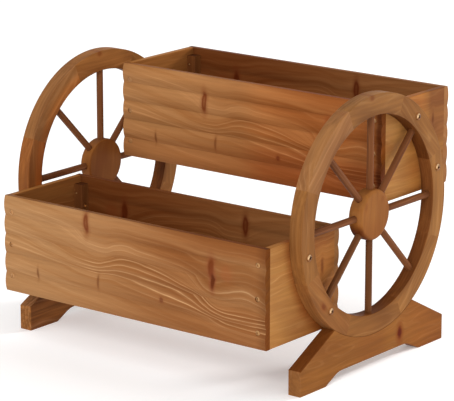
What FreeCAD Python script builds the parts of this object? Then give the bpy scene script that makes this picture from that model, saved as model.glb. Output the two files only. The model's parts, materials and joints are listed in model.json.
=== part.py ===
"""Two-tier cart stand: two open boxes carried between a pair of spoked cart wheels.

Frame: millimetres, +Z up, origin on the floor under the middle of the stand.
+X runs along the boxes towards the right-hand wheel, -Y is the front.
The lower box is in front, the upper box behind it. Each wheel is screwed to the
side panels of both boxes and stands in the cradle of its own foot board.
"""
import FreeCAD, Part
import Sketcher
import math
import os
from FreeCAD import Vector, Placement, Rotation

doc = FreeCAD.newDocument("CartStand")

# ---------------------------------------------------------------- dimensions
SHEET = [
    # alias, value, what it is
    ("box_length", 570.0, "outer length of a box, end to end of its boards"),
    ("box_height", 171.0, "height of a box, five beads of 34.2"),
    ("board_thick", 13.0, "front and back board, inner face to bead crest"),
    ("bead_depth", 3.2, "depth of the valleys between the beads"),
    ("bead_radius", 47.5, "radius of one bead"),
    ("side_width", 176.0, "side panel width, front board to back board"),
    ("side_thick", 11.0, "side panel thickness"),
    ("batten_size", 18.0, "corner batten section"),
    ("batten_drop", 12.0, "batten top below the box's upper edge"),
    ("floor_thick", 11.0, "bottom panel thickness"),
    ("floor_play", 0.5, "gap round the bottom panel"),
    ("drain_dia", 12.0, "drain hole"),
    ("box_offset", 160.0, "middle of each box from the origin, along Y"),
    ("lower_base", 90.0, "underside of the lower box above the floor"),
    ("upper_base", 271.5, "underside of the upper box above the floor"),
    ("wheel_offset", 10.0, "wheel centre behind the origin"),
    ("wheel_centre", 266.5, "wheel centre above the floor"),
    ("rim_outer", 207.5, "rim outer radius"),
    ("rim_inner", 171.5, "rim inner radius"),
    ("wheel_thick", 25.0, "stock thickness of rim, hub and foot"),
    ("rim_round", 1.2, "rounding of the rim's four edges"),
    ("tongue_thick", 8.0, "stub tongue between rim segments, along X"),
    ("tongue_inner", 180.0, "inner radius of the tongue"),
    ("tongue_outer", 199.0, "outer radius of the tongue"),
    ("tongue_angle", 2.6, "length of the tongue, in degrees of rim"),
    ("groove_play", 0.15, "clearance round the tongue"),
    ("hub_radius", 44.0, "hub radius"),
    ("hub_round", 7.0, "rounding of the hub's outer edge"),
    ("hub_round_back", 3.0, "rounding of the hub's inner edge"),
    ("spoke_dia", 12.0, "spoke diameter"),
    ("spoke_play", 0.1, "radial clearance of a spoke in its socket"),
    ("socket_hub", 28.0, "radius that the hub sockets reach in to"),
    ("socket_rim", 183.5, "radius that the rim sockets reach out to"),
    ("foot_half", 208.0, "half length of the foot"),
    ("foot_end", 43.5, "height of the foot at its ends"),
    ("foot_shoulder_at", 113.5, "half width of the cradle"),
    ("cradle_radius", 208.5, "cradle, a little wider than the rim, so they meet at its lowest line"),
    ("pad_inner", 135.5, "inner end of a pad, from the foot's middle"),
    ("arch_knee", 112.0, "where the arch's flank ends"),
    ("arch_knee_up", 11.8, "height of the flank's end"),
    ("arch_flat", 90.0, "half length of the flat of the arch"),
    ("arch_sweep", 45.3, "radius between the arch's flank and its flat"),
    ("arch_height", 17.5, "height of the arch"),
    ("foot_round", 1.6, "easing of the foot's edges"),
    ("screw_inset", 16.0, "board screws from the board's end"),
    ("screw_dia", 4.0, "board, side and bottom screw shank"),
    ("screw_head", 8.2, "their heads"),
    ("screw_sink", 2.4, "depth of their counterbores"),
    ("screw_long", 30.0, "their length under the head"),
    ("big_screw_dia", 5.0, "wheel and foot screw shank"),
    ("big_screw_head", 9.6, "foot screw head"),
    ("wheel_screw_head", 11.4, "wheel screw head, which stands on the rim's face"),
    ("wheel_screw_long", 34.0, "wheel screw length under the head"),
    ("wheel_screw_ring", 189.5, "radius that the wheel screws lie near"),
    ("foot_screw_sink", 20.0, "depth of the foot screws' counterbores"),
    ("foot_screw_long", 50.0, "foot screw length under the head"),
    ("foot_screw_at", 45.0, "foot screws from the foot's middle"),
    ("hole_play", 0.12, "radial clearance of a screw in its hole"),
    ("head_play", 0.35, "radial clearance of a head in its counterbore"),
]
sheet = doc.addObject("Spreadsheet::Sheet", "dims")
for row, (alias, value, note) in enumerate(SHEET, start=1):
    sheet.set("A%d" % row, note)
    sheet.set("B%d" % row, "%g" % value)
    sheet.setAlias("B%d" % row, alias)
doc.recompute()


class Dim:
    """A length that carries its number and the sheet expression it comes from."""

    def __init__(self, number, text=None):
        self.number = float(number)
        self.text = text if text is not None else "%.10g" % float(number)

    def __add__(self, other):
        other = as_dim(other)
        return Dim(self.number + other.number, "(%s + %s)" % (self.text, other.text))

    def __sub__(self, other):
        other = as_dim(other)
        return Dim(self.number - other.number, "(%s - %s)" % (self.text, other.text))

    def __mul__(self, other):
        other = as_dim(other)
        return Dim(self.number * other.number, "(%s * %s)" % (self.text, other.text))

    def __truediv__(self, other):
        other = as_dim(other)
        return Dim(self.number / other.number, "(%s / %s)" % (self.text, other.text))

    def __neg__(self):
        return Dim(-self.number, "(0 - %s)" % self.text)


def as_dim(value):
    return value if isinstance(value, Dim) else Dim(value)


def root(value):
    return Dim(math.sqrt(value.number), "sqrt(%s)" % value.text)


def size(alias):
    return Dim(sheet.get(alias), "dims.%s" % alias)


# every alias as a Dim, read back from the sheet
box_length = size("box_length")
box_height = size("box_height")
board_thick = size("board_thick")
bead_depth = size("bead_depth")
bead_radius = size("bead_radius")
side_width = size("side_width")
side_thick = size("side_thick")
batten_size = size("batten_size")
batten_drop = size("batten_drop")
floor_thick = size("floor_thick")
floor_play = size("floor_play")
box_offset = size("box_offset")
lower_base = size("lower_base")
upper_base = size("upper_base")
wheel_offset = size("wheel_offset")
wheel_centre = size("wheel_centre")
rim_outer = size("rim_outer")
rim_inner = size("rim_inner")
wheel_thick = size("wheel_thick")
hub_radius = size("hub_radius")
spoke_dia = size("spoke_dia")
spoke_play = size("spoke_play")
socket_hub = size("socket_hub")
socket_rim = size("socket_rim")
screw_dia = size("screw_dia")
screw_head = size("screw_head")
screw_sink = size("screw_sink")
screw_long = size("screw_long")
screw_inset = size("screw_inset")
big_screw_dia = size("big_screw_dia")
big_screw_head = size("big_screw_head")
hole_play = size("hole_play")
head_play = size("head_play")
half_length = box_length / 2
half_side = side_width / 2

NODES = []          # document objects that are written out, in order


def keep(obj, label):
    obj.Label = label
    NODES.append(obj)
    return obj


# ------------------------------------------------------------ sketch helpers
def origin_part(body, role):
    for item in body.Origin.OriginFeatures:
        if item.Role == role:
            return item
    raise RuntimeError("no " + role)


def new_sketch(body, name, plane, offset=None):
    sketch = body.newObject("Sketcher::SketchObject", name)
    sketch.AttachmentSupport = (origin_part(body, plane), [""])
    sketch.MapMode = "FlatFace"
    if offset is not None:
        sketch.AttachmentOffset = offset
    return sketch


def pin_point(sketch, geo, pos, x, y):
    """Fix one point of a sketch at two sheet-driven distances from the origin."""
    x, y = as_dim(x), as_dim(y)
    if abs(x.number) < 1e-9:
        sketch.addConstraint(Sketcher.Constraint("PointOnObject", geo, pos, -2))
    else:
        n = sketch.addConstraint(Sketcher.Constraint("DistanceX", -1, 1, geo, pos, x.number))
        sketch.setExpression("Constraints[%d]" % n, x.text)
    if abs(y.number) < 1e-9:
        sketch.addConstraint(Sketcher.Constraint("PointOnObject", geo, pos, -1))
    else:
        n = sketch.addConstraint(Sketcher.Constraint("DistanceY", -1, 1, geo, pos, y.number))
        sketch.setExpression("Constraints[%d]" % n, y.text)


def outline(sketch, points, edges):
    """Closed outline. points: (x, y) Dims. edges[i] joins point i to the next one:
    None is a straight line, (radius, side) an arc whose centre lies on the left
    (side 1) or the right (side -1) of the way from one point to the next."""
    count = len(points)
    ends = []
    for i in range(count):
        ax, ay = as_dim(points[i][0]).number, as_dim(points[i][1]).number
        bx, by = as_dim(points[(i + 1) % count][0]).number, as_dim(points[(i + 1) % count][1]).number
        if edges[i] is None:
            g = sketch.addGeometry(Part.LineSegment(Vector(ax, ay, 0), Vector(bx, by, 0)), False)
            ends.append((g, 1, 2))
            continue
        radius, side = edges[i]
        radius = as_dim(radius)
        mx, my = (ax + bx) / 2, (ay + by) / 2
        dx, dy = bx - ax, by - ay
        chord = math.hypot(dx, dy)
        rise = math.sqrt(max(radius.number ** 2 - chord ** 2 / 4, 0.0))
        cx = mx - side * dy / chord * rise
        cy = my + side * dx / chord * rise
        a0 = math.atan2(ay - cy, ax - cx)
        a1 = math.atan2(by - cy, bx - cx)
        circle = Part.Circle(Vector(cx, cy, 0), Vector(0, 0, 1), radius.number)
        if side > 0:
            g = sketch.addGeometry(Part.ArcOfCircle(circle, a0, a1), False)
            ends.append((g, 1, 2))
        else:
            g = sketch.addGeometry(Part.ArcOfCircle(circle, a1, a0), False)
            ends.append((g, 2, 1))
        n = sketch.addConstraint(Sketcher.Constraint("Radius", g, radius.number))
        sketch.setExpression("Constraints[%d]" % n, radius.text)
    for i in range(count):
        g, _first, last = ends[i]
        g2, first2, _last2 = ends[(i + 1) % count]
        sketch.addConstraint(Sketcher.Constraint("Coincident", g, last, g2, first2))
    for i in range(count):
        pin_point(sketch, ends[i][0], ends[i][1], points[i][0], points[i][1])


def rectangle(sketch, x0, y0, x1, y1):
    outline(sketch, [(x0, y0), (x1, y0), (x1, y1), (x0, y1)], [None] * 4)


def circles(sketch, centres, diameter):
    """Equal circles; the first carries the size, the others are held equal to it."""
    diameter = as_dim(diameter)
    first = None
    for x, y in centres:
        x, y = as_dim(x), as_dim(y)
        g = sketch.addGeometry(Part.Circle(Vector(x.number, y.number, 0), Vector(0, 0, 1), diameter.number / 2), False)
        if first is None:
            first = g
            n = sketch.addConstraint(Sketcher.Constraint("Diameter", g, diameter.number))
            sketch.setExpression("Constraints[%d]" % n, diameter.text)
        else:
            sketch.addConstraint(Sketcher.Constraint("Equal", first, g))
        pin_point(sketch, g, 3, x, y)


def pocket(body, name, sketch, depth, reverse=False, through=False):
    """A pocket, with the volume compared so that one pointing the wrong way is caught."""
    before = body.Tip.Shape.Volume
    feature = body.newObject("PartDesign::Pocket", name)
    feature.Profile = sketch
    if through:
        feature.Type = "ThroughAll"
        feature.Midplane = True
    else:
        depth = as_dim(depth)
        feature.Length = depth.number
        feature.setExpression("Length", depth.text)
    feature.Reversed = reverse
    sketch.Visibility = False
    body.Tip = feature
    doc.recompute()
    if feature.Shape.isNull() or before - feature.Shape.Volume < 1.0:
        raise RuntimeError("pocket %s of %s cuts nothing" % (name, body.Label))
    return feature


def pad(body, name, sketch, length, reverse=False):
    feature = body.newObject("PartDesign::Pad", name)
    feature.Profile = sketch
    length = as_dim(length)
    feature.Length = length.number
    feature.setExpression("Length", length.text)
    feature.Reversed = reverse
    sketch.Visibility = False
    body.Tip = feature
    return feature


def place(obj, x, y, z, rotation=None):
    """Placement of a sub-part, its position bound to the sheet."""
    x, y, z = as_dim(x), as_dim(y), as_dim(z)
    obj.Placement = Placement(Vector(x.number, y.number, z.number), rotation or Rotation())
    for axis, value in (("x", x), ("y", y), ("z", z)):
        obj.setExpression("Placement.Base.%s" % axis, value.text)


def bind(obj, prop, value):
    value = as_dim(value)
    setattr(obj, prop, value.number)
    obj.setExpression(prop, value.text)


# ------------------------------------------------------------------- the boxes
# A front or back board: five beads on the outer face, flat inside, square ends.
# Built lying along X with the bead crests towards -Y and its inner face on Y = 0.
# Screws go in from the beads' side, three at each end, at one, three and five
# sixths of the height, in shallow counterbores. The middle one is on a crest.
bead_pitch = box_height / 5
screw_heights = [box_height / 6, box_height / 2, box_height * 5 / 6]


def beaded_board(label):
    body = doc.addObject("PartDesign::Body", label)
    profile = new_sketch(body, label + "_profile", "YZ_Plane")
    valley = -(board_thick - bead_depth)
    points = [(0, box_height), (valley, box_height)]
    edges = [None]
    for i in range(5):
        edges.append((bead_radius, 1))
        points.append((valley, box_height - bead_pitch * (i + 1)))
    points.append((Dim(0), Dim(0)))
    edges.append(None)
    edges.append(None)
    outline(profile, points, edges)
    blank = pad(body, label + "_blank", profile, box_length)
    blank.Midplane = True
    body.Tip = blank
    doc.recompute()

    # easing of the long top and bottom edges
    corners = []
    for n, edge in enumerate(blank.Shape.Edges, start=1):
        box = edge.BoundBox
        if box.XLength > 100 and abs(edge.CenterOfMass.y) < 0.01:
            corners.append("Edge%d" % n)
    ease = body.newObject("PartDesign::Fillet", label + "_ease")
    ease.Base = (blank, corners)
    ease.Radius = 1.2
    body.Tip = ease
    doc.recompute()

    for name, dia, depth in (("_holes", screw_dia + hole_play * 2, None),
                             ("_counterbores", screw_head + head_play * 2, screw_sink)):
        drill = new_sketch(body, label + name + "_sketch", "XZ_Plane",
                           Placement(Vector(0, 0, board_thick.number), Rotation()))
        drill.setExpression("AttachmentOffset.Base.z", board_thick.text)
        spots = []
        for x in (-(half_length - screw_inset), half_length - screw_inset):
            for height in screw_heights:
                spots.append((x, height))
        circles(drill, spots, dia)
        pocket(body, label + name, drill, depth, reverse=False, through=depth is None)
    return keep(body, label)


# A flat side panel, a box along Y between the two boards. The wheel screws and
# the screws from the battens run into it.
def cylinder(label, dia, height, x, y, z, axis):
    """A drill or a dowel. axis is the way it points."""
    tool = doc.addObject("Part::Cylinder", label)
    bind(tool, "Radius", as_dim(dia) / 2)
    bind(tool, "Height", height)
    turn = {"x": Rotation(Vector(0, 1, 0), 90), "-x": Rotation(Vector(0, 1, 0), -90),
            "y": Rotation(Vector(1, 0, 0), -90), "-y": Rotation(Vector(1, 0, 0), 90),
            "z": Rotation(), "-z": Rotation(Vector(1, 0, 0), 180)}[axis]
    place(tool, x, y, z, turn)
    return tool


def cut_with(label, base, tools):
    """Base less all tools."""
    if len(tools) == 1:
        tool = tools[0]
    else:
        tool = doc.addObject("Part::MultiFuse", label + "_drills")
        tool.Shapes = tools
    result = doc.addObject("Part::Cut", label)
    result.Base = base
    result.Tool = tool
    return result


# Where each wheel screw sits: the angle round the rim, from +Y towards +Z, how
# far it is outside the screws' ring, and the box that it runs into.
WHEEL_SCREWS = [(190.0, 0.0, "lower"), (228.1, -3.6, "lower"), (50.5, 1.9, "upper"), (14.6, 0.0, "upper")]
wheel_screw_ring = size("wheel_screw_ring")
wheel_screw_long = size("wheel_screw_long")
BOXES = {"lower": (-box_offset, lower_base), "upper": (box_offset, upper_base)}
SIDES = {"left": -1.0, "right": 1.0}


def wheel_screw_point(angle, out):
    """Y and Z of a wheel screw, as Dims."""
    turn = math.radians(angle)
    ring = wheel_screw_ring + out
    return wheel_offset + ring * math.cos(turn), wheel_centre + ring * math.sin(turn)


side_screw_heights = [box_height * 0.30, box_height * 0.70]


def side_panel(label, tier, side):
    sign = SIDES[side]
    y0, z0 = BOXES[tier]
    outer = half_length * sign
    blank = doc.addObject("Part::Box", label + "_blank")
    bind(blank, "Length", side_thick)
    bind(blank, "Width", side_width)
    bind(blank, "Height", box_height)
    place(blank, (half_length - side_thick) if sign > 0 else -half_length, y0 - half_side, z0)
    ease = doc.addObject("Part::Fillet", label + "_eased")
    ease.Base = blank
    doc.recompute()
    tops = []
    for n, edge in enumerate(blank.Shape.Edges, start=1):
        box = edge.BoundBox
        if box.YLength > 50:
            tops.append((n, 1.2, 1.2))
    ease.Edges = tops
    drills = []
    for i, (angle, out, where) in enumerate(WHEEL_SCREWS):
        if where != tier:
            continue
        y, z = wheel_screw_point(angle, out)
        reach = wheel_screw_long - wheel_thick + 0.5
        drills.append(cylinder("%s_wheel_drill_%d" % (label, i), big_screw_dia + hole_play * 2, reach,
                               outer, y, z, "-x" if sign > 0 else "x"))
    # pilot holes of the batten screws, from the inner face
    inner = (half_length - side_thick) * sign
    for j, y in enumerate((y0 - half_side + batten_size / 2, y0 + half_side - batten_size / 2)):
        for k, height in enumerate(side_screw_heights):
            drills.append(cylinder("%s_batten_drill_%d%d" % (label, j, k), screw_dia + hole_play * 2,
                                   side_screw_tip + 0.3, inner, y, z0 + height, "x" if sign > 0 else "-x"))
    panel = cut_with(label, ease, drills)
    return keep(panel, label)


# How far the batten screws reach into the side panel.
side_screw_long = size("screw_long") - 6
side_screw_tip = side_screw_long - (batten_size - screw_sink)

# how far the board screws reach into the battens and the floor screws into them
board_screw_tip = screw_long - (board_thick - screw_sink)
floor_screw_tip = screw_long - (floor_thick - screw_sink)


def batten(label, tier, x_sign, y_sign):
    y0, z0 = BOXES[tier]
    length = box_height - floor_thick - batten_drop
    blank = doc.addObject("Part::Box", label + "_blank")
    bind(blank, "Length", batten_size)
    bind(blank, "Width", batten_size)
    bind(blank, "Height", length)
    x_low = (half_length - side_thick - batten_size) if x_sign > 0 else -(half_length - side_thick)
    y_low = (y0 + half_side - batten_size) if y_sign > 0 else (y0 - half_side)
    place(blank, x_low, y_low, z0 + floor_thick)
    ease = doc.addObject("Part::Chamfer", label + "_eased")
    ease.Base = blank
    doc.recompute()
    # the one long corner that faces the inside of the box is chamfered
    inside = Vector(x_low.number + (0 if x_sign > 0 else batten_size.number),
                    y_low.number + (0 if y_sign > 0 else batten_size.number), 0)
    for n, edge in enumerate(blank.Shape.Edges, start=1):
        if edge.BoundBox.ZLength > 50:
            mid = edge.CenterOfMass
            if abs(mid.x - inside.x) < 0.01 and abs(mid.y - inside.y) < 0.01:
                ease.Edges = [(n, 1.5, 1.5)]
    drills = []
    # board screws, through the outer board along Y
    x = (half_length - screw_inset) * x_sign
    y_face = y0 + half_side * y_sign
    for k, height in enumerate(screw_heights):
        drills.append(cylinder("%s_board_drill_%d" % (label, k), screw_dia + hole_play * 2,
                               board_screw_tip + 0.3, x, y_face, z0 + height, "-y" if y_sign > 0 else "y"))
    # side screws, all the way through along X, with a counterbore for the head
    y_mid = y0 + (half_side - batten_size / 2) * y_sign
    x_in = (half_length - side_thick - batten_size) * x_sign
    out = "x" if x_sign > 0 else "-x"
    for k, height in enumerate(side_screw_heights):
        drills.append(cylinder("%s_side_drill_%d" % (label, k), screw_dia + hole_play * 2,
                               batten_size + 1, x_in, y_mid, z0 + height, out))
        drills.append(cylinder("%s_side_bore_%d" % (label, k), screw_head + head_play * 2,
                               screw_sink, x_in, y_mid, z0 + height, out))
    # floor screw, up from below
    x_mid = (half_length - side_thick - batten_size / 2) * x_sign
    drills.append(cylinder("%s_floor_drill" % label, screw_dia + hole_play * 2, floor_screw_tip + 0.3,
                           x_mid + floor_screw_shift * x_sign, y_mid + floor_screw_shift * y_sign,
                           z0 + floor_thick, "z"))
    return keep(cut_with(label, ease, drills), label)


# the floor screws sit off the batten's middle, towards the inside of the box, so
# that they pass clear of the screws that cross it
floor_screw_shift = Dim(-3.0)


def bottom_panel(label, tier):
    y0, z0 = BOXES[tier]
    body = doc.addObject("PartDesign::Body", label)
    plan = new_sketch(body, label + "_plan", "XY_Plane")
    half_x = half_length - side_thick - floor_play
    half_y = half_side - floor_play
    rectangle(plan, -half_x, -half_y, half_x, half_y)
    pad(body, label + "_board", plan, floor_thick)
    doc.recompute()
    drains = new_sketch(body, label + "_drain_sketch", "XY_Plane")
    spots = []
    for i in (-2, -1, 0, 1, 2):
        for j in (-1, 1):
            spots.append((half_length * (0.34 * i), half_side * (0.5 * j)))
    circles(drains, spots, size("drain_dia"))
    pocket(body, label + "_drains", drains, None, through=True)
    x_mid = half_length - side_thick - batten_size / 2 + floor_screw_shift
    y_mid = half_side - batten_size / 2 + floor_screw_shift
    corners = [(-x_mid, -y_mid), (x_mid, -y_mid), (x_mid, y_mid), (-x_mid, y_mid)]
    holes = new_sketch(body, label + "_hole_sketch", "XY_Plane")
    circles(holes, corners, screw_dia + hole_play * 2)
    pocket(body, label + "_holes", holes, None, through=True)
    sinks = new_sketch(body, label + "_sink_sketch", "XY_Plane")
    circles(sinks, corners, screw_head + head_play * 2)
    pocket(body, label + "_sinks", sinks, screw_sink, reverse=True)
    place(body, 0, y0, z0)
    return keep(body, label)


for tier in ("lower", "upper"):
    y0, z0 = BOXES[tier]
    front = beaded_board(tier + "_front_board")
    place(front, 0, y0 - half_side, z0)
    back = beaded_board(tier + "_back_board")
    place(back, 0, y0 + half_side, z0, Rotation(Vector(0, 0, 1), 180))
    side_panel(tier + "_left_side", tier, "left")
    side_panel(tier + "_right_side", tier, "right")
    bottom_panel(tier + "_bottom_panel", tier)
    for n, (sx, sy) in enumerate(((-1, -1), (1, -1), (1, 1), (-1, 1)), start=1):
        batten("%s_corner_batten_%d" % (tier, n), tier, float(sx), float(sy))

# ------------------------------------------------------------------ the wheels
# One rim segment of 45 degrees: a ring turned about the wheel's axle, its edges
# rounded, with a blind socket in the middle of its inner face for the spoke, a
# stub tongue on one end and the matching groove in the other.
# Built about the axle on X with its middle on +Y and its faces at X = 0 and X =
# the stock thickness, then turned to its place. On the right-hand wheel X runs
# outwards; the left-hand wheel is the mirror image, so its outer face is X = 0.
wheel_mid = wheel_thick / 2
groove_play = size("groove_play")
tongue_angle = size("tongue_angle")
SEGMENT = 45.0


def rim_segment(label, side, index):
    sign = SIDES[side]
    centre = SEGMENT * index                  # where its middle lies on the wheel
    body = doc.addObject("PartDesign::Body", label)
    axle = origin_part(body, "X_Axis")
    section = new_sketch(body, label + "_section", "XY_Plane")
    rectangle(section, 0, rim_inner, wheel_thick, rim_outer)
    ring = body.newObject("PartDesign::Revolution", label + "_ring")
    ring.Profile = section
    ring.ReferenceAxis = (axle, [""])
    ring.Angle = SEGMENT
    ring.Midplane = True
    body.Tip = ring
    doc.recompute()

    edges = []
    for n, edge in enumerate(ring.Shape.Edges, start=1):
        if edge.Curve.TypeId == "Part::GeomCircle":
            edges.append("Edge%d" % n)
    rounds = body.newObject("PartDesign::Fillet", label + "_rounds")
    rounds.Base = (ring, edges)
    bind(rounds, "Radius", size("rim_round"))
    body.Tip = rounds
    doc.recompute()

    # groove, in the end that faces backwards round the wheel
    slot = new_sketch(body, label + "_groove_section", "XY_Plane",
                      Placement(Vector(0, 0, 0), Rotation(Vector(1, 0, 0), -SEGMENT / 2)))
    half = size("tongue_thick") / 2 + groove_play
    rectangle(slot, wheel_mid - half, size("tongue_inner") - groove_play,
              wheel_mid + half, size("tongue_outer") + groove_play)
    before = body.Tip.Shape.Volume
    groove = body.newObject("PartDesign::Groove", label + "_groove")
    groove.Profile = slot
    groove.ReferenceAxis = (axle, [""])
    bind(groove, "Angle", tongue_angle + 0.1)
    body.Tip = groove
    doc.recompute()
    if before - groove.Shape.Volume < 100:
        raise RuntimeError("groove of %s cuts nothing" % label)

    # tongue, on the other end
    stub = new_sketch(body, label + "_tongue_section", "XY_Plane",
                      Placement(Vector(0, 0, 0), Rotation(Vector(1, 0, 0), SEGMENT / 2 - 0.5)))
    half = size("tongue_thick") / 2
    rectangle(stub, wheel_mid - half, size("tongue_inner"), wheel_mid + half, size("tongue_outer"))
    before = body.Tip.Shape.Volume
    tongue = body.newObject("PartDesign::Revolution", label + "_tongue")
    tongue.Profile = stub
    tongue.ReferenceAxis = (axle, [""])
    bind(tongue, "Angle", tongue_angle + 0.5)
    body.Tip = tongue
    doc.recompute()
    if tongue.Shape.Volume - before < 100:
        raise RuntimeError("tongue of %s adds nothing" % label)

    # spoke socket, bored outwards from the axle
    bore = new_sketch(body, label + "_socket_sketch", "XZ_Plane")
    circles(bore, [(wheel_mid, 0)], spoke_dia + spoke_play * 2)
    pocket(body, label + "_socket", bore, socket_rim, reverse=False)

    # clear holes of the wheel screws that fall in this segment
    for k, (angle, out, _where) in enumerate(WHEEL_SCREWS):
        away = (angle - centre + 180.0) % 360.0 - 180.0
        if abs(away) > SEGMENT / 2:
            continue
        turn = math.radians(away)
        ring = wheel_screw_ring + out
        spot = [(ring * math.cos(turn), ring * math.sin(turn))]
        hole = new_sketch(body, "%s_screw_sketch_%d" % (label, k), "YZ_Plane")
        circles(hole, spot, big_screw_dia + hole_play * 2)
        pocket(body, "%s_screw_hole_%d" % (label, k), hole, wheel_thick, reverse=True)

    # the lowest segment takes the tips of the two foot screws, which stand
    # upright: here the wheel's -Z is the segment's own +Y
    if index == 6:
        pilot = new_sketch(body, label + "_foot_sketch", "XZ_Plane",
                           Placement(Vector(0, 0, -rim_outer.number), Rotation()))
        pilot.setExpression("AttachmentOffset.Base.z", (-rim_outer).text)
        at = size("foot_screw_at")
        circles(pilot, [(wheel_mid, at), (wheel_mid, -at)], big_screw_dia + hole_play * 2)
        pocket(body, label + "_foot_pilots", pilot, foot_screw_reach, reverse=True)

    x = half_length if sign > 0 else -(half_length + wheel_thick)
    place(body, x, wheel_offset, wheel_centre, Rotation(Vector(1, 0, 0), centre))
    return keep(body, label)


# A foot screw's tip, above the underside of the rim's lowest point.
foot_screw_reach = (size("arch_height") + size("foot_screw_sink") + size("foot_screw_long")
                    - (wheel_centre - rim_outer) + 0.4)


# The hub: a turned disc with a soft outer edge and eight radial sockets.
def wheel_hub(label, side):
    sign = SIDES[side]
    body = doc.addObject("PartDesign::Body", label)
    axle = origin_part(body, "X_Axis")
    section = new_sketch(body, label + "_section", "XY_Plane")
    big, small = size("hub_round"), size("hub_round_back")
    low, high = (small, big) if sign > 0 else (big, small)
    points = [(0, 0), (wheel_thick, 0), (wheel_thick, hub_radius - high), (wheel_thick - high, hub_radius),
              (low, hub_radius), (0, hub_radius - low)]
    outline(section, points, [None, None, (high, 1), None, (low, 1), None])
    disc = body.newObject("PartDesign::Revolution", label + "_disc")
    disc.Profile = section
    disc.ReferenceAxis = (axle, [""])
    disc.Angle = 360.0
    body.Tip = disc
    doc.recompute()
    # one socket, repeated round the axle
    bore = new_sketch(body, label + "_socket_sketch", "XZ_Plane",
                      Placement(Vector(0, 0, -hub_radius.number - 1), Rotation()))
    bore.setExpression("AttachmentOffset.Base.z", (-(hub_radius + 1)).text)
    circles(bore, [(wheel_mid, 0)], spoke_dia + spoke_play * 2)
    socket = pocket(body, label + "_socket", bore, hub_radius + 1 - socket_hub, reverse=True)
    before = socket.Shape.Volume
    ring = body.newObject("PartDesign::PolarPattern", label + "_sockets")
    ring.Originals = [socket]
    ring.Axis = (axle, [""])
    ring.Angle = 360.0
    ring.Occurrences = 8
    body.Tip = ring
    doc.recompute()
    if before - ring.Shape.Volume < 1000:
        raise RuntimeError("hub sockets weren't repeated")
    x = half_length if sign > 0 else -(half_length + wheel_thick)
    place(body, x, wheel_offset, wheel_centre)
    return keep(body, label)


# A spoke: a dowel from the bottom of its hub socket to the bottom of its rim
# socket, with eased ends.
def spoke(label, side, index):
    sign = SIDES[side]
    angle = SEGMENT * index
    turn = math.radians(angle)
    dowel = doc.addObject("Part::Cylinder", label + "_dowel")
    bind(dowel, "Radius", spoke_dia / 2)
    bind(dowel, "Height", socket_rim - socket_hub)
    doc.recompute()
    ends = doc.addObject("Part::Chamfer", label)
    ends.Base = dowel
    rims = []
    for n, edge in enumerate(dowel.Shape.Edges, start=1):
        if edge.Curve.TypeId == "Part::GeomCircle":
            rims.append((n, 0.8, 0.8))
    ends.Edges = rims
    # the dowel stands on Z, and is turned about X to point outwards at its angle
    place(ends, (half_length + wheel_mid) * sign,
          wheel_offset + socket_hub * math.cos(turn),
          wheel_centre + socket_hub * math.sin(turn),
          Rotation(Vector(1, 0, 0), angle - 90.0))
    return keep(ends, label)


# The foot: a board on edge. Two pads, a shallow arch between them, sloped
# shoulders, and a cradle in its top edge that the rim stands in.
def foot(label, side):
    sign = SIDES[side]
    body = doc.addObject("PartDesign::Body", label)
    face = new_sketch(body, label + "_outline", "YZ_Plane")
    half = size("foot_half")
    pad_in = size("pad_inner")
    end = size("foot_end")
    knee, knee_up = size("arch_knee"), size("arch_knee_up")
    flat, arch = size("arch_flat"), size("arch_height")
    # the slopes end on the cradle, whose lowest line touches the rim
    at, cradle = size("foot_shoulder_at"), size("cradle_radius")
    shoulder = wheel_centre - rim_outer + cradle - root(cradle * cradle - at * at)
    sweep = size("arch_sweep")
    points = [(-half, 0), (-pad_in, 0), (-knee, knee_up), (-flat, arch), (flat, arch), (knee, knee_up),
              (pad_in, 0), (half, 0), (half, end), (at, shoulder), (-at, shoulder), (-half, end)]
    edges = [None, None, (sweep, -1), None, (sweep, -1), None, None, None, None, (cradle, -1), None, None]
    outline(face, points, edges)
    blank = pad(body, label + "_board", face, wheel_thick)
    doc.recompute()
    # ease the long outer edges, except those of the cradle and the floor
    edges = []
    for n, edge in enumerate(blank.Shape.Edges, start=1):
        box = edge.BoundBox
        if box.XLength > 1:
            continue                          # runs across the thickness
        mid = edge.CenterOfMass
        if edge.Curve.TypeId == "Part::GeomCircle" and abs(edge.Curve.Radius - size("cradle_radius").number) < 0.1:
            continue
        if box.ZMax < 0.01:
            continue
        edges.append("Edge%d" % n)
    ease = body.newObject("PartDesign::Chamfer", label + "_ease")
    ease.Base = (blank, edges)
    bind(ease, "Size", size("foot_round") / 2)
    body.Tip = ease
    doc.recompute()
    at = size("foot_screw_at")
    for name, dia, depth in (("_holes", big_screw_dia + hole_play * 2, None),
                             ("_counterbores", big_screw_head + head_play * 2,
                              arch + size("foot_screw_sink"))):
        drill = new_sketch(body, label + name + "_sketch", "XY_Plane")
        circles(drill, [(wheel_mid, -at), (wheel_mid, at)], dia)
        pocket(body, label + name, drill, depth, reverse=True, through=depth is None)
    place(body, half_length if sign > 0 else -(half_length + wheel_thick), wheel_offset, 0)
    return keep(body, label)


for side in ("left", "right"):
    for index in range(8):
        rim_segment("%s_felloe_%d" % (side, index + 1), side, index)
    for index in range(8):
        spoke("%s_spoke_%d" % (side, index + 1), side, index)
    wheel_hub(side + "_hub", side)
    foot(side + "_foot", side)


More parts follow.
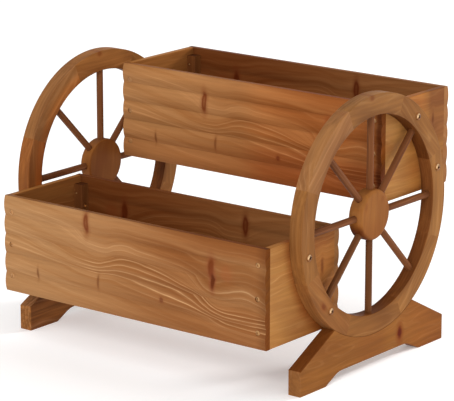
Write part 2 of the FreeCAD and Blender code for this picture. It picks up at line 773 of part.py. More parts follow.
# ----------------------------------------------------------------- the screws
# Each kind of screw is one group. A screw is turned about its own axis: shank
# with a short point, flat underside to the head, domed top with a cross recess.
# It is built along +Z with the underside of its head on Z = 0 and its head
# below, then turned to its place. The sizes come from the sheet.
def screw_shape(dia, head, length, dome):
    radius, top = dia / 2, head / 2
    thick = head * (0.14 + dome)
    dome = head * dome
    points = [Vector(0, 0, length), Vector(radius * 0.25, 0, length), Vector(radius, 0, length - dia),
              Vector(radius, 0, 0), Vector(top, 0, 0), Vector(top, 0, -thick + dome)]
    lines = [Part.LineSegment(points[i], points[i + 1]).toShape() for i in range(len(points) - 1)]
    arc = Part.Arc(points[-1], Vector(top * 0.55, 0, -thick + dome * 0.25), Vector(0, 0, -thick)).toShape()
    close = Part.LineSegment(Vector(0, 0, -thick), points[0]).toShape()
    face = Part.Face(Part.Wire(lines + [arc, close]))
    solid = face.revolve(Vector(0, 0, 0), Vector(0, 0, 1), 360)
    if solid.ShapeType != "Solid":
        solid = Part.Solid(solid) if solid.ShapeType == "Shell" else solid
    # cross recess
    slot, deep = head * 0.17, thick * 0.72
    for angle in (0, 90):
        cut = Part.makeBox(head * 0.56, slot, deep + 1, Vector(-head * 0.28, -slot / 2, -thick - 1))
        cut.rotate(Vector(0, 0, 0), Vector(0, 0, 1), angle + 20)
        solid = solid.cut(cut)
    return solid


def screw_group(label, spots, dia, head, length, dome=0.09):
    """spots: (x, y, z of the underside of the head, direction the point faces).
    dome: how far the head's top rises above its edge, in head diameters."""
    one = screw_shape(dia.number, head.number, length.number, dome)
    shapes = []
    for n, (x, y, z, way) in enumerate(spots):
        copy = one.copy()
        turn = Rotation(Vector(0, 0, 1), way).multiply(Rotation(Vector(0, 0, 1), (n * 37) % 90))
        copy.Placement = Placement(Vector(as_dim(x).number, as_dim(y).number, as_dim(z).number), turn)
        shapes.append(copy)
    group = doc.addObject("Part::Feature", label)
    group.Shape = Part.makeCompound(shapes)
    group.Placement = Placement()
    return keep(group, label)


board_spots, side_spots, floor_spots = [], [], []
for tier in ("lower", "upper"):
    y0, z0 = BOXES[tier]
    for sx in (-1.0, 1.0):
        for sy in (-1.0, 1.0):
            for height in screw_heights:
                board_spots.append(((half_length - screw_inset) * sx,
                                    y0 + (half_side + board_thick - screw_sink) * sy,
                                    z0 + height, Vector(0, -sy, 0)))
            for height in side_screw_heights:
                side_spots.append(((half_length - side_thick - batten_size + screw_sink) * sx,
                                   y0 + (half_side - batten_size / 2) * sy,
                                   z0 + height, Vector(sx, 0, 0)))
            floor_spots.append(((half_length - side_thick - batten_size / 2 + floor_screw_shift) * sx,
                                y0 + (half_side - batten_size / 2 + floor_screw_shift) * sy,
                                z0 + screw_sink, Vector(0, 0, 1)))
screw_group("board_screws", board_spots, screw_dia, screw_head, screw_long)
screw_group("side_screws", side_spots, screw_dia, screw_head, side_screw_long)
screw_group("bottom_screws", floor_spots, screw_dia, screw_head, screw_long)

wheel_spots, foot_spots = [], []
for side, sign in SIDES.items():
    for angle, out, _tier in WHEEL_SCREWS:
        y, z = wheel_screw_point(angle, out)
        wheel_spots.append(((half_length + wheel_thick) * sign, y, z, Vector(-sign, 0, 0)))
    for way in (-1.0, 1.0):
        foot_spots.append(((half_length + wheel_mid) * sign, wheel_offset + size("foot_screw_at") * way,
                           size("arch_height") + size("foot_screw_sink"), Vector(0, 0, 1)))
screw_group("wheel_screws", wheel_spots, big_screw_dia, size("wheel_screw_head"), wheel_screw_long, dome=0.13)
screw_group("foot_screws", foot_spots, big_screw_dia, big_screw_head, size("foot_screw_long"))

# ------------------------------------------------------------ check and write
doc.recompute()
faults = []
for item in doc.Objects:
    if "Invalid" in item.State or "Error" in item.State:
        faults.append("%s: %s" % (item.Label, item.State))
for item in NODES:
    shape = item.Shape
    if shape.isNull() or not shape.isValid() or not shape.Solids:
        faults.append("%s: shape null, invalid or without a solid" % item.Label)
    elif len(shape.Solids) != 1 and not item.Label.endswith("_screws"):
        faults.append("%s: %d solids" % (item.Label, len(shape.Solids)))
if faults:
    raise RuntimeError("model not written: " + "; ".join(faults))
if len(NODES) > 60:
    raise RuntimeError("too many nodes: %d" % len(NODES))

os.makedirs("parts", exist_ok=True)
for item in NODES:
    item.Shape.exportStep("parts/%s.step" % item.Label)
low = Vector(1e9, 1e9, 1e9)
high = Vector(-1e9, -1e9, -1e9)
for item in NODES:
    box = item.Shape.BoundBox
    low = Vector(min(low.x, box.XMin), min(low.y, box.YMin), min(low.z, box.ZMin))
    high = Vector(max(high.x, box.XMax), max(high.y, box.YMax), max(high.z, box.ZMax))
print("%d nodes, box %.2f %.2f %.2f to %.2f %.2f %.2f" % (len(NODES), low.x, low.y, low.z, high.x, high.y, high.z))
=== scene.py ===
import json
import math

import bpy
from mathutils import Matrix, Vector

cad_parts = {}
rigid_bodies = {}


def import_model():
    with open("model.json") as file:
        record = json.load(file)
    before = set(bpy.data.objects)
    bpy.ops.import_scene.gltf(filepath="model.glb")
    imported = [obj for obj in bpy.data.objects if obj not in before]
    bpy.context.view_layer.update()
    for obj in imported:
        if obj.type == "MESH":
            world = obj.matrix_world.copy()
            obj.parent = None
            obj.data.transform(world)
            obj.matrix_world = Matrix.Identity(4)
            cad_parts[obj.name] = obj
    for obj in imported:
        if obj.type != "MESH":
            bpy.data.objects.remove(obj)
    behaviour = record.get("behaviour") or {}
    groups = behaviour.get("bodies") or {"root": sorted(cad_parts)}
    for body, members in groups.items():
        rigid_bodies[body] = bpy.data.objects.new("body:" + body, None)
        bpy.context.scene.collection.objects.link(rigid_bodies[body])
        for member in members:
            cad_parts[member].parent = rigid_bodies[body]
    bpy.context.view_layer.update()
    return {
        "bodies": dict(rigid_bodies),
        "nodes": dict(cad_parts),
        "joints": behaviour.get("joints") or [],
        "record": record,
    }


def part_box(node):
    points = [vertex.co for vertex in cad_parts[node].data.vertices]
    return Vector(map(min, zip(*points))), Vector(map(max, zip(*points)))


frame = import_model()
nodes = frame["nodes"] if isinstance(frame, dict) else frame.nodes


# ---------------------------------------------------------------- colours

def srgb(r, g, b):
    """A display colour, 0 to 255, as the linear colour a shader takes."""
    def one(c):
        c /= 255.0
        return c / 12.92 if c <= 0.04045 else ((c + 0.055) / 1.055) ** 2.4
    return (one(r), one(g), one(b), 1.0)


# ---------------------------------------------------------------- node trees

class Value:
    """An output socket, with arithmetic that adds Math nodes."""

    def __init__(self, tree, socket):
        self.tree = tree
        self.socket = socket

    def _math(self, op, *others, clamp=False):
        return self.tree.math(op, self, *others, clamp=clamp)

    def __add__(self, o):
        return self._math("ADD", o)

    __radd__ = __add__

    def __sub__(self, o):
        return self._math("SUBTRACT", o)

    def __rsub__(self, o):
        return self.tree.math("SUBTRACT", o, self)

    def __mul__(self, o):
        return self._math("MULTIPLY", o)

    __rmul__ = __mul__

    def __truediv__(self, o):
        return self._math("DIVIDE", o)

    def __rtruediv__(self, o):
        return self.tree.math("DIVIDE", o, self)


class Tree:
    """Builds one shader node tree."""

    def __init__(self, node_tree):
        self.t = node_tree
        self.count = 0

    def node(self, kind, **settings):
        n = self.t.nodes.new(kind)
        n.location = (180 * (self.count % 14), -220 * (self.count // 14))
        self.count += 1
        for key, value in settings.items():
            setattr(n, key, value)
        return n

    def put(self, target, value):
        """Links a Value or a socket to an input, or sets the input's number or colour."""
        if isinstance(value, Value):
            self.t.links.new(value.socket, target)
        elif isinstance(value, bpy.types.NodeSocket):
            self.t.links.new(value, target)
        elif value is not None:
            target.default_value = value

    def math(self, op, *args, clamp=False):
        n = self.node("ShaderNodeMath", operation=op, use_clamp=clamp)
        for k, a in enumerate(args):
            self.put(n.inputs[k], a)
        return Value(self, n.outputs[0])

    def ramp01(self, value, low, high, smooth=True):
        """0 below low, 1 above high."""
        n = self.node("ShaderNodeMapRange")
        n.interpolation_type = "SMOOTHSTEP" if smooth else "LINEAR"
        n.clamp = True
        self.put(n.inputs["Value"], value)
        self.put(n.inputs["From Min"], low)
        self.put(n.inputs["From Max"], high)
        return Value(self, n.outputs["Result"])

    def split(self, vector):
        n = self.node("ShaderNodeSeparateXYZ")
        self.put(n.inputs[0], vector)
        return [Value(self, n.outputs[k]) for k in range(3)]

    def join(self, x, y, z):
        n = self.node("ShaderNodeCombineXYZ")
        for k, v in enumerate((x, y, z)):
            self.put(n.inputs[k], v)
        return Value(self, n.outputs[0])

    def stretch(self, vector, by):
        n = self.node("ShaderNodeVectorMath", operation="MULTIPLY")
        self.put(n.inputs[0], vector)
        self.put(n.inputs[1], by)
        return Value(self, n.outputs[0])

    def shift(self, vector, by):
        n = self.node("ShaderNodeVectorMath", operation="ADD")
        self.put(n.inputs[0], vector)
        self.put(n.inputs[1], by)
        return Value(self, n.outputs[0])

    def noise(self, vector, scale=1.0, detail=2.0, roughness=0.5, distortion=0.0):
        n = self.node("ShaderNodeTexNoise")
        self.put(n.inputs["Vector"], vector)
        self.put(n.inputs["Scale"], scale)
        self.put(n.inputs["Detail"], detail)
        self.put(n.inputs["Roughness"], roughness)
        self.put(n.inputs["Distortion"], distortion)
        return Value(self, n.outputs[0])

    def curve(self, value, points):
        """A smooth curve through points whose x and y run from 0 to 1."""
        n = self.node("ShaderNodeFloatCurve")
        c = n.mapping.curves[0]
        c.points[0].location = points[0]
        c.points[1].location = points[-1]
        for p in points[1:-1]:
            c.points.new(*p)
        n.mapping.update()
        self.put(n.inputs["Value"], value)
        return Value(self, n.outputs[0])

    def ramp(self, value, stops):
        """A colour ramp of (position, grey level)."""
        n = self.node("ShaderNodeValToRGB")
        e = n.color_ramp.elements
        e[0].position, e[1].position = stops[0][0], stops[-1][0]
        e[0].color = (*[stops[0][1]] * 3, 1)
        e[1].color = (*[stops[-1][1]] * 3, 1)
        for pos, level in stops[1:-1]:
            x = e.new(pos)
            x.color = (level, level, level, 1)
        n.color_ramp.interpolation = "EASE"
        self.put(n.inputs[0], value)
        return Value(self, n.outputs[0])

    def mix(self, factor, a, b, blend="MIX"):
        n = self.node("ShaderNodeMix", data_type="RGBA", blend_type=blend)
        n.clamp_factor = True
        self.put(n.inputs[0], factor)
        self.put(n.inputs[6], a)
        self.put(n.inputs[7], b)
        return Value(self, n.outputs[2])


def group(name, inputs, outputs):
    g = bpy.data.node_groups.new(name, "ShaderNodeTree")
    for label, kind in inputs:
        g.interface.new_socket(name=label, in_out="INPUT", socket_type=kind)
    for label, kind in outputs:
        g.interface.new_socket(name=label, in_out="OUTPUT", socket_type=kind)
    tree = Tree(g)
    gin = tree.node("NodeGroupInput")
    gout = tree.node("NodeGroupOutput")
    return g, tree, {k: Value(tree, gin.outputs[k]) for k, _ in inputs}, gout


F, V, C = "NodeSocketFloat", "NodeSocketVector", "NodeSocketColor"


def colour_of(tree, rings, tone, fibre, streak, pale, mid, dark, depth=0.16):
    """Stained softwood: pale thin late wood on a darker early wood, with a slow change of tone."""
    base = tree.mix(tone, dark, mid)
    lit = tree.mix(rings, base, pale)
    shade = tree.ramp01(fibre, 0.25, 0.75, smooth=False) * 0.12 + (tree.ramp01(streak, 0.3, 0.7) - 0.5) * depth + 0.94
    warm = shade * 1.06 - 0.06
    return tree.mix(1.0, lit, tree.join(shade, warm, warm * 1.04 - 0.04), blend="MULTIPLY")


def grain_noise(t, moved):
    """Fine fibres, and the broader streaks that run with them."""
    fibre = t.noise(t.stretch(moved, (0.035, 1.1, 1.1)), detail=3.0, roughness=0.6)
    streak = t.noise(t.stretch(moved, (0.006, 0.16, 0.16)), detail=2.0, roughness=0.6)
    return fibre, streak


def timber_group():
    """Grain of a plain piece. Position is in millimetres: x along the grain, y across, z through."""
    g, t, i, out = group(
        "timber",
        [("Position", V), ("Seed", F), ("Spacing", F), ("Wobble", F), ("Lines", F),
         ("Streaks", F), ("Pale", C), ("Mid", C), ("Dark", C), ("End", F)],
        [("Color", C), ("Height", F), ("Gloss", F)],
    )
    x, y, z = t.split(i["Position"])
    seed = i["Seed"]
    moved = t.join(x + seed * 71.3, y + seed * 13.7, z + seed * 5.1)
    slow = t.noise(t.stretch(moved, (0.0045, 0.022, 0.022)), detail=2.0)
    wave = t.noise(t.stretch(moved, (0.013, 0.03, 0.03)), detail=1.0)
    across = y + t.math("SINE", seed * 2.3) * 22.0
    deep = z - 46.0 - t.math("SINE", seed * 5.7) * 14.0
    radius = t.math("SQRT", across * across + deep * deep)
    radius = radius + (slow - 0.5) * i["Wobble"] + (wave - 0.5) * i["Wobble"] * 0.25
    ring = t.math("FRACT", radius / i["Spacing"])
    line = t.ramp(ring, [(0.0, 0.30), (0.3, 0.12), (0.62, 0.0), (0.80, 0.30), (0.88, 1.0), (0.94, 0.95), (1.0, 0.30)])
    fade = t.noise(t.stretch(moved, (0.008, 0.05, 0.05)), detail=2.0)
    fade = t.ramp01(fade, 0.35, 0.65)
    lines = line * (0.25 + fade * 0.75) * i["Lines"]
    band = t.noise(t.join(radius * 0.055, x * 0.0015 + seed, 0.0), detail=2.0)
    blotch = t.noise(t.stretch(moved, (0.011, 0.02, 0.02)), detail=1.0)
    tone = t.ramp01(band * 0.5 + slow * 0.25 + blotch * 0.25, 0.36, 0.62)
    fibre, streak = grain_noise(t, moved)
    color = colour_of(t, lines, tone, fibre, streak, i["Pale"], i["Mid"], i["Dark"], i["Streaks"])
    end_rings = t.mix(t.ramp(ring, [(0.0, 0.2), (0.7, 0.5), (0.9, 0.0), (1.0, 0.2)]), i["Dark"], i["Mid"])
    end_color = t.mix(1.0, end_rings, srgb(188, 172, 158), blend="MULTIPLY")
    color = t.mix(i["End"], color, end_color)
    t.put(out.inputs["Color"], color)
    t.put(out.inputs["Height"], fibre * 0.6 + lines * 0.4)
    t.put(out.inputs["Gloss"], 0.46 + fibre * 0.12 - lines * 0.04)
    return g


BOARD_L = 570.0
# heights in millimetres, along the board, of two of the grain lines on its face
LINE_UPPER = [(0, 159), (52, 151), (103, 142), (144, 133), (174, 121), (200, 110), (225, 107), (253, 117),
              (273, 120), (306, 116), (346, 112), (377, 108), (400, 102), (418, 94), (434, 84), (450, 76),
              (470, 71), (490, 73), (510, 79), (528, 82), (546, 78), (570, 66)]
LINE_LOWER = [(0, 122), (51, 114), (92, 105), (133, 96), (165, 88), (193, 85), (213, 85), (233, 90),
              (261, 98), (283, 99), (325, 95), (356, 91), (387, 83), (418, 74), (444, 63), (466, 54),
              (484, 50), (508, 49), (570, 50)]


def board_group():
    """Grain of a beaded board's face. Position in millimetres: x from the left end, y up, z depth."""
    g, t, i, out = group(
        "board_grain",
        [("Position", V), ("Seed", F), ("Tint", F), ("End", F), ("Inside", F),
         ("Lines", F), ("BeadShade", F), ("Knot", F), ("Second", F), ("Margin", F), ("Top", F)],
        [("Color", C), ("Height", F), ("Gloss", F)],
    )
    x, y, z = t.split(i["Position"])
    seed = i["Seed"]
    moved = t.join(x + seed * 71.3, y + seed * 13.7, z + seed * 5.1)
    along = x / BOARD_L
    upper = t.curve(along, [(a / BOARD_L, b / 171.0) for a, b in LINE_UPPER]) * 171.0
    lower = t.curve(along, [(a / BOARD_L, b / 171.0) for a, b in LINE_LOWER]) * 171.0
    wander = t.noise(t.stretch(moved, (0.006, 0.02, 0.02)), detail=1.0)
    ripple = t.noise(t.stretch(moved, (0.03, 0.05, 0.05)), detail=1.0)
    v = y + (wander - 0.5) * 8.0 + (ripple - 0.5) * 1.6 + z * 0.8
    # the grain bends round the two upright knots
    for cx, cy, wide, high, push in ((187, i["Knot"], 15, 22, 0.6), (456, 113, 22, 26, 0.6)):
        dx = (x - cx) / wide
        dy = (y - cy) / high
        near = t.math("EXPONENT", (dx * dx + dy * dy) * -1.0)
        v = v - (y - cy) * near * push
    # below the lower line the grain straightens out again
    calm = t.ramp01(lower - v, 4.0, 50.0)
    low_part = t.math("MINIMUM", v - lower, 0.0) + calm * (lower - 122.0 + along * 72.0)
    mid_part = t.math("DIVIDE", v - lower, upper - lower, clamp=True) * 35.0
    top_part = t.math("MAXIMUM", (v - upper) / (182.0 - upper), 0.0) * 50.0
    h = low_part + mid_part + top_part + 90.0
    ring = t.math("FRACT", (h - 90.0) / 8.0 + 0.9)
    line = t.ramp(ring, [(0.0, 0.30), (0.25, 0.10), (0.6, 0.0), (0.80, 0.15), (0.87, 1.0), (0.93, 0.9), (1.0, 0.30)])
    # crisp lines in the sweep through the middle, faint and broad ones elsewhere
    sweep = t.ramp01(h, 54.0, 66.0) * (1.0 - t.ramp01(h, 93.0, 100.0))
    crest = t.ramp01(h, 118.0, 122.0) * (1.0 - t.ramp01(h, 128.0, 136.0))
    patch = t.ramp01(t.noise(t.join(x * 0.009 + seed, h * 0.045, 0.0), detail=2.0), 0.38, 0.6)
    crisp = t.ramp01(along, 0.24, 0.40) * 0.75 + 0.25
    lines = line * (sweep * 0.95 * crisp + crest * 0.40 * crisp + 0.10) * (patch * 0.5 + 0.5) * i["Lines"]
    broad = t.noise(t.join(h * 0.11, x * 0.003 + seed, 0.7), detail=2.0)
    lines = lines + t.ramp01(broad, 0.54, 0.72) * (0.42 - t.ramp01(along, 0.1, 0.5) * 0.30)
    band = t.noise(t.join(h * 0.075, x * 0.0022 + seed, 0.3), detail=3.0, roughness=0.55)
    tone = t.ramp01(band + (0.5 - along) * 0.16, 0.34, 0.62)
    tone = tone * (1.0 - calm * 0.55) + calm * 0.36
    fibre, streak = grain_noise(t, moved)
    left_mid, right_mid = srgb(165, 120, 77), srgb(146, 95, 54)
    left_dark, right_dark = srgb(151, 102, 58), srgb(127, 75, 36)
    go = t.ramp01(along, 0.05, 0.75)
    mid = t.mix(go, left_mid, right_mid)
    dark = t.mix(go, left_dark, right_dark)
    color = colour_of(t, lines, tone, fibre, streak, srgb(194, 147, 101), mid, dark, 0.12)
    # painted shade: each bead is darker low down and in the grooves and lighter above its middle, as if lit from above
    phase = t.math("FRACT", (y + (ripple - 0.5) * 1.2) / 34.2)
    painted_bead_shade = t.curve(phase, [(0.0, 0.10), (0.06, 0.14), (0.25, 0.42), (0.6, 0.92), (0.8, 0.90), (0.94, 0.5), (1.0, 0.12)])
    painted_bead_shade = (painted_bead_shade - 0.56) * 0.34 * i["BeadShade"] + 1.0
    color = t.mix(1.0, color, t.join(painted_bead_shade, painted_bead_shade * 1.04 - 0.04, painted_bead_shade * 1.08 - 0.08), blend="MULTIPLY")
    # knots: two tall ones and three small marks
    for cx, cy, wide, high, rim, heart, hollow, power in (
        (187, i["Knot"], 6.5, 21.0, (122, 60, 26), (104, 42, 12), 0.55, 0.95),
        (457, 120, 8.0, 22.0, (126, 62, 32), (104, 46, 14), 0.0, i["Second"] * 0.95),
        (460, 99, 5.5, 18.0, (120, 56, 30), (90, 38, 12), 0.0, i["Second"]),
        (488, 116, 16.0, 16.0, (146, 74, 36), (146, 74, 36), 0.0, i["Second"] * 0.25),
        (76, 43, 2.8, 12.0, (122, 74, 38), (106, 60, 30), 0.0, 0.6),
        (213, 53, 3.2, 14.0, (124, 72, 34), (106, 58, 28), 0.0, 0.55),
        (352, 47, 5.0, 6.0, (120, 64, 32), (102, 48, 26), 0.0, 0.6),
    ):
        wob = (ripple - 0.5) * 0.5
        dx = (x - cx) / wide + (wander - 0.5) * 0.6
        dy = (y - cy) / high
        far = t.math("SQRT", dx * dx + dy * dy) + wob
        halo = (1.0 - t.ramp01(far, 0.5, 1.9)) * power
        core = (1.0 - t.ramp01(far, 0.45, 1.05)) * power
        if hollow:
            core = core * (1.0 - (1.0 - t.ramp01(far, 0.1, 0.7)) * hollow)
        color = t.mix(halo * 0.55, color, srgb(*rim))
        color = t.mix(core, color, srgb(*heart))
    color = t.mix(i["Tint"], color, t.mix(1.0, color, (1.13, 1.02, 0.88, 1), blend="MULTIPLY"))
    # the face is darker close to its right end
    edge = t.ramp01(x, 546.0, 572.0)
    color = t.mix(edge * 0.5, color, t.mix(1.0, color, srgb(176, 156, 132), blend="MULTIPLY"))
    # painted shadow of the upright spoke: a narrow dark band on the face just short of its right end
    spoke_shadow = t.ramp01(x, 557.0, 564.0) * i["Margin"]
    color = t.mix(spoke_shadow, color, t.mix(1.0, color, srgb(188, 170, 150), blend="MULTIPLY"))
    # painted shade: upward faces and the inner face are darker
    color = t.mix(i["Top"], color, t.mix(1.0, color, srgb(214, 196, 178), blend="MULTIPLY"))
    color = t.mix(i["Inside"], color, t.mix(1.0, color, srgb(208, 190, 176), blend="MULTIPLY"))
    end_color = t.mix(t.ramp(ring, [(0.0, 0.3), (0.7, 0.6), (0.9, 0.0), (1.0, 0.3)]), srgb(100, 50, 8), srgb(118, 62, 12))
    color = t.mix(i["End"], color, end_color)
    t.put(out.inputs["Color"], color)
    t.put(out.inputs["Height"], fibre * 0.6 + lines * 0.4)
    t.put(out.inputs["Gloss"], 0.47 + fibre * 0.12 - lines * 0.04)
    return g


TIMBER = timber_group()
BOARD = board_group()


def start(name):
    m = bpy.data.materials.new(name)
    m.use_nodes = True
    m.node_tree.nodes.clear()
    return m, Tree(m.node_tree)


def finish(m, t, color, height, gloss, bump=0.00022, specular=0.06):
    b = t.node("ShaderNodeBump")
    b.inputs["Strength"].default_value = 0.5
    b.inputs["Distance"].default_value = bump
    t.put(b.inputs["Height"], height)
    p = t.node("ShaderNodeBsdfPrincipled")
    t.put(p.inputs["Base Color"], color)
    t.put(p.inputs["Roughness"], gloss)
    t.put(p.inputs["Normal"], b.outputs[0])
    p.inputs["Specular IOR Level"].default_value = specular
    o = t.node("ShaderNodeOutputMaterial")
    t.t.links.new(p.outputs[0], o.inputs["Surface"])
    return m


def facing(t, direction, low, high):
    """1 where the surface looks along the direction, 0 where it does not."""
    geo = t.node("ShaderNodeNewGeometry")
    d = t.node("ShaderNodeVectorMath", operation="DOT_PRODUCT")
    t.t.links.new(geo.outputs["Normal"], d.inputs[0])
    d.inputs[1].default_value = direction
    return t.ramp01(Value(t, d.outputs["Value"]), low, high)


def basis(along, across):
    a = Vector(along).normalized()
    c = Vector(across)
    c = (c - a * c.dot(a)).normalized()
    return Matrix((a, c, a.cross(c)))


def placed(t, along, across, origin):
    """Object position in millimetres, turned so that x runs along the grain and y across it."""
    turn = basis(along, across)
    where = t.node("ShaderNodeTexCoord")
    m = t.node("ShaderNodeMapping", vector_type="POINT")
    m.inputs["Scale"].default_value = (1000, 1000, 1000)
    m.inputs["Rotation"].default_value = turn.to_euler("XYZ")
    m.inputs["Location"].default_value = -(turn @ (Vector(origin) * 1000))
    t.t.links.new(where.outputs["Object"], m.inputs["Vector"])
    end = t.math("MAXIMUM", facing(t, turn[0], 0.72, 0.95), facing(t, -turn[0], 0.72, 0.95))
    return Value(t, m.outputs[0]), end


TONES = {
    # pale line, light wood, dark wood
    "panel": ((196, 144, 86), (178, 125, 67), (156, 100, 52)),
    "rim": ((165, 119, 72), (145, 96, 48), (120, 75, 37)),
    "hub": ((161, 110, 59), (150, 96, 45), (125, 73, 33)),
    "spoke": ((140, 88, 48), (116, 68, 36), (86, 46, 22)),
    "foot": ((157, 107, 59), (138, 86, 35), (119, 69, 27)),
    # inner: the parts inside the boxes, in darker tones as painted shade
    "inner": ((144, 92, 50), (124, 74, 36), (98, 54, 26)),
}


KNOT = ((120, 52, 12), (88, 24, 0))


def timber(name, tone, along, across, origin, seed, spacing=6.0, wobble=26.0, lines=0.4, specular=0.06,
           tint=(1, 1, 1), end_by=1.0, streaks=0.16, spots=(), tone_and_shade=()):
    """One piece's material. spots are knots: a point in millimetres, half length, half width and strength.
    tone_and_shade darken the surface, some as a change of tone and some as painted shade: a node value between 0 and
    1, made by a function of the tree, and a colour."""
    m, t = start(name)
    position, end = placed(t, along, across, origin)
    x, y, z = t.split(position)
    turn = basis(along, across)
    masks = []
    wob = t.noise(t.stretch(position, (0.05, 0.12, 0.12)), detail=1.0) - 0.5
    for point, half, wide, power in spots:
        p = turn @ (Vector(point) - Vector(origin) * 1000)
        dx = (x - p.x) / half
        dy = (y - p.y) / wide
        far = dx * dx + dy * dy
        y = y - (y - p.y) * t.math("EXPONENT", far * -0.3) * 0.5
        masks.append((t.math("SQRT", far) + wob * 0.7, power))
    if masks:
        position = t.join(x, y, z)
    g = t.node("ShaderNodeGroup", node_tree=TIMBER)
    t.put(g.inputs["Position"], position)
    pale, mid, dark = (srgb(*c) for c in TONES[tone])
    for key, value in dict(Seed=seed, Spacing=spacing, Wobble=wobble, Lines=lines, Streaks=streaks,
                           Pale=pale, Mid=mid, Dark=dark).items():
        t.put(g.inputs[key], value)
    t.put(g.inputs["End"], end * end_by)
    color = Value(t, g.outputs["Color"])
    for far, power in masks:
        color = t.mix((1.0 - t.ramp01(far, 0.5, 2.0)) * 0.6 * power, color, srgb(*KNOT[0]))
        color = t.mix((1.0 - t.ramp01(far, 0.3, 1.1)) * 0.9 * power, color, srgb(*KNOT[1]))
    if tint != (1, 1, 1):
        color = t.mix(1.0, color, (*tint, 1), blend="MULTIPLY")
    for where, shade in tone_and_shade:
        color = t.mix(where(t), color, t.mix(1.0, color, (*shade, 1), blend="MULTIPLY"))
    return finish(m, t, color, Value(t, g.outputs["Height"]), Value(t, g.outputs["Gloss"]), specular=specular)


def turned_to(direction, low=0.3, high=0.7):
    return lambda t: facing(t, direction, low, high)


def across_region(axis, low, high):
    """A mask that grows along one axis of the part, from low to high in millimetres."""
    def build(t):
        where = t.node("ShaderNodeTexCoord")
        return t.ramp01(t.split(where.outputs["Object"])[axis] * 1000.0, low, high)
    return build


def round_wheel(low, high):
    """A mask that grows with the distance from a wheel's axis, from low to high in millimetres."""
    def build(t):
        where = t.node("ShaderNodeTexCoord")
        _, y, z = t.split(where.outputs["Object"])
        dy, dz = y * 1000.0 - WHEEL_Y * 1000, z * 1000.0 - WHEEL_Z * 1000
        return t.ramp01(t.math("SQRT", dy * dy + dz * dz), low, high)
    return build


def both(*parts):
    """A mask only where all the given ones are."""
    def build(t):
        value = parts[0](t)
        for part in parts[1:]:
            value = value * part(t)
        return value
    return build


def beaded(name, origin, toward, seed, tint, lines=1.0, bead_shade=0.25, knot=152.0, second=1.0, spoke_shadow=0.0,
           end_by=1.0, tone_and_shade=()):
    """The face grain of a beaded board; toward is +1 where its face looks toward -Y."""
    m, t = start(name)
    position, end = placed(t, (toward, 0, 0), (0, 0, 1), origin)
    g = t.node("ShaderNodeGroup", node_tree=BOARD)
    t.put(g.inputs["Position"], position)
    t.put(g.inputs["Seed"], seed)
    t.put(g.inputs["Tint"], tint)
    t.put(g.inputs["End"], end * end_by)
    # masks for the painted shade on the inner face and on upward faces
    t.put(g.inputs["Inside"], facing(t, (0, toward, 0), 0.3, 0.7))
    t.put(g.inputs["Top"], facing(t, (0, 0, 1), 0.3, 0.8))
    for key, value in dict(Lines=lines, BeadShade=bead_shade, Knot=knot, Second=second, Margin=spoke_shadow).items():
        t.put(g.inputs[key], value)
    color = Value(t, g.outputs["Color"])
    for where, shade in tone_and_shade:
        color = t.mix(where(t), color, t.mix(1.0, color, (*shade, 1), blend="MULTIPLY"))
    return finish(m, t, color, Value(t, g.outputs["Height"]), Value(t, g.outputs["Gloss"]))


def steel(name, color, rough, proud=False, stained=False):
    """Passivated steel. proud: the heads that stand on the rims, with painted shade in the cross recess and on the
    lower side of the dome.
    stained: the heads at the left end are covered with wood stain."""
    m, t = start(name)
    where = t.node("ShaderNodeTexCoord")
    n = t.noise(where.outputs["Object"], scale=900.0, detail=2.0)
    p = t.node("ShaderNodeBsdfPrincipled")
    p.inputs["Base Color"].default_value = srgb(*color)
    if proud:
        geo = t.node("ShaderNodeNewGeometry")
        out = t.math("ABSOLUTE", t.split(where.outputs["Object"])[0]) * 1000.0
        turned = t.math("ABSOLUTE", t.split(geo.outputs["True Normal"])[0])
        bed = t.math("GREATER_THAN", turned, 0.9) * t.math("LESS_THAN", out, 311.3)
        wall = t.math("LESS_THAN", turned, 0.3) * t.math("GREATER_THAN", out, 311.66)
        # painted shade: the side of the dome turned away from the front and from above is darker, and so is the cross
        # recess
        tone = t.mix(facing(t, (0, -0.7, 0.7), 0.06, 0.30), srgb(136, 88, 52), srgb(*color))
        t.put(p.inputs["Base Color"], t.mix(t.math("MAXIMUM", bed, wall), tone, srgb(88, 58, 34)))
    p.inputs["Metallic"].default_value = 1.0
    if stained:
        left = t.math("LESS_THAN", t.split(where.outputs["Object"])[0], 0.0)
        t.put(p.inputs["Base Color"], t.mix(left, srgb(*color), srgb(178, 126, 74)))
        t.put(p.inputs["Metallic"], 1.0 - left)
    t.put(p.inputs["Roughness"], rough + n * 0.16)
    o = t.node("ShaderNodeOutputMaterial")
    t.t.links.new(p.outputs[0], o.inputs["Surface"])
    return m


# ---------------------------------------------------------------- finishes, node by node

def centre(obj):
    low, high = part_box(obj.name)
    return (Vector(low) + Vector(high)) / 2


def give(obj, material):
    obj.data.materials.clear()
    obj.data.materials.append(material)


WHEEL_Y, WHEEL_Z = 0.010, 0.2665
